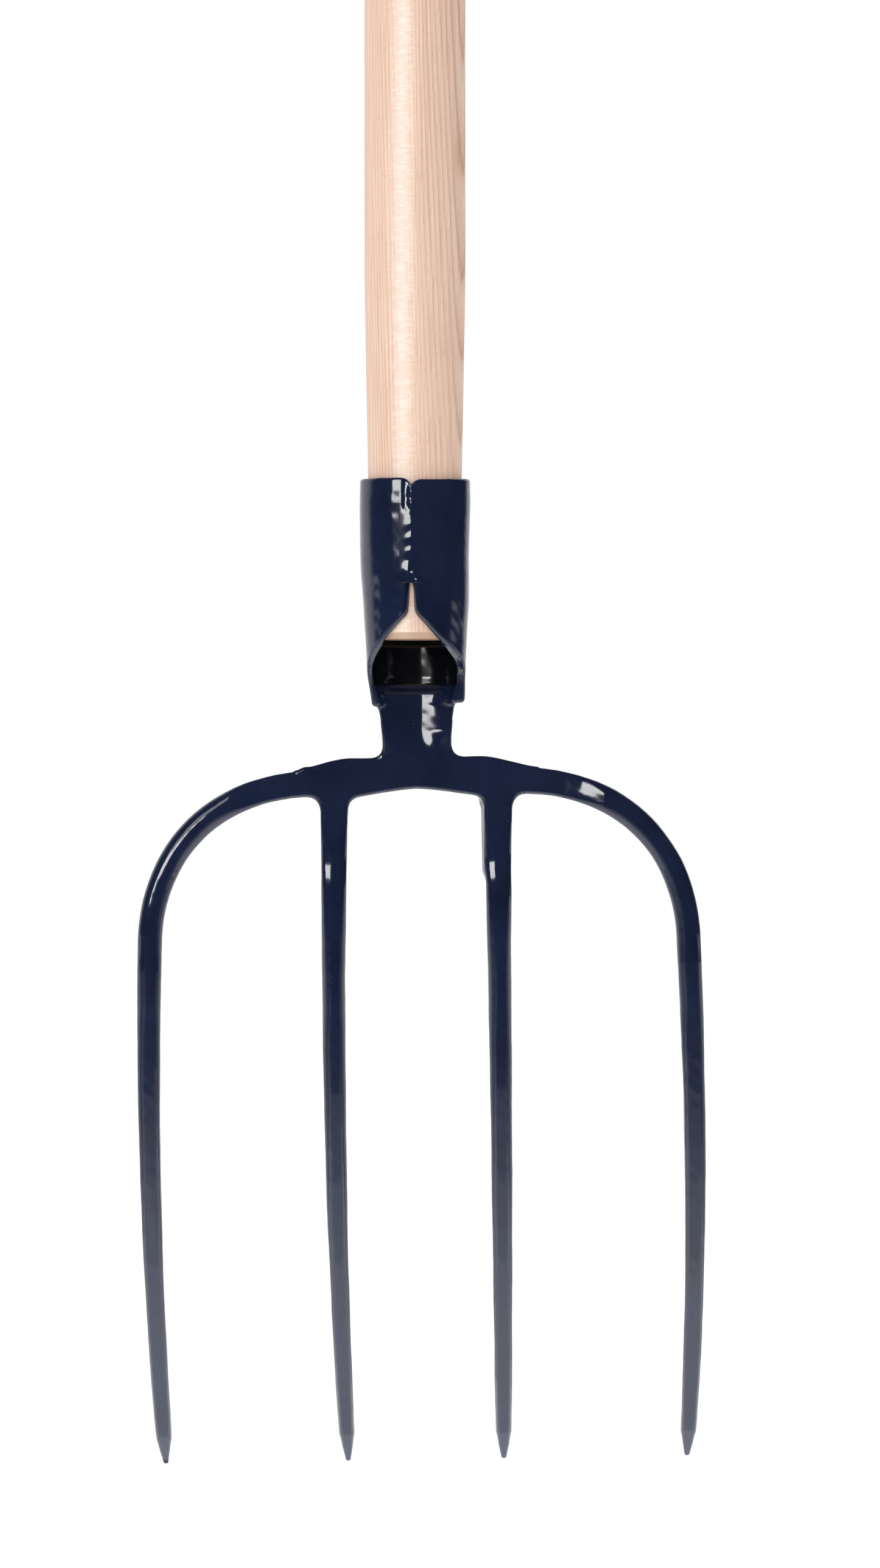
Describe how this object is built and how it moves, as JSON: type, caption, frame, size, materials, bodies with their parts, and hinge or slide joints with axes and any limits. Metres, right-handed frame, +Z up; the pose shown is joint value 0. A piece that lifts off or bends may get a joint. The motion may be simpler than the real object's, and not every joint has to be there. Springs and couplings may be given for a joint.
{
  "type": "manure fork",
  "caption": "Long handled manure fork: navy painted forged head with slender tines, a rolled socket open at the back, and a straight round ash handle.",
  "frame": {"origin": "on the handle's axis, at the lower end of the straight grip, where the handle starts to taper towards the socket", "axes": "+Z up along the handle towards its free end, +X to the right as seen from the back of the tool, +Y towards the front, the way the tines bend"},
  "size_m": [0.2161, 0.0921, 1.6685],
  "materials": {
    "ash_wood": "smooth sanded pale ash",
    "navy_paint": "glossy dipped paint",
    "zinc_steel": "zinc plated"
  },
  "bodies": {
    "root": {"handle": "ash_wood", "socket": "navy_paint", "seam_weld": "navy_paint", "neck": "navy_paint", "yoke": "navy_paint", "outer_left_tine": "navy_paint", "inner_left_tine": "navy_paint", "inner_right_tine": "navy_paint", "outer_right_tine": "navy_paint", "handle_screw": "zinc_steel"}
  },
  "joints": []
}
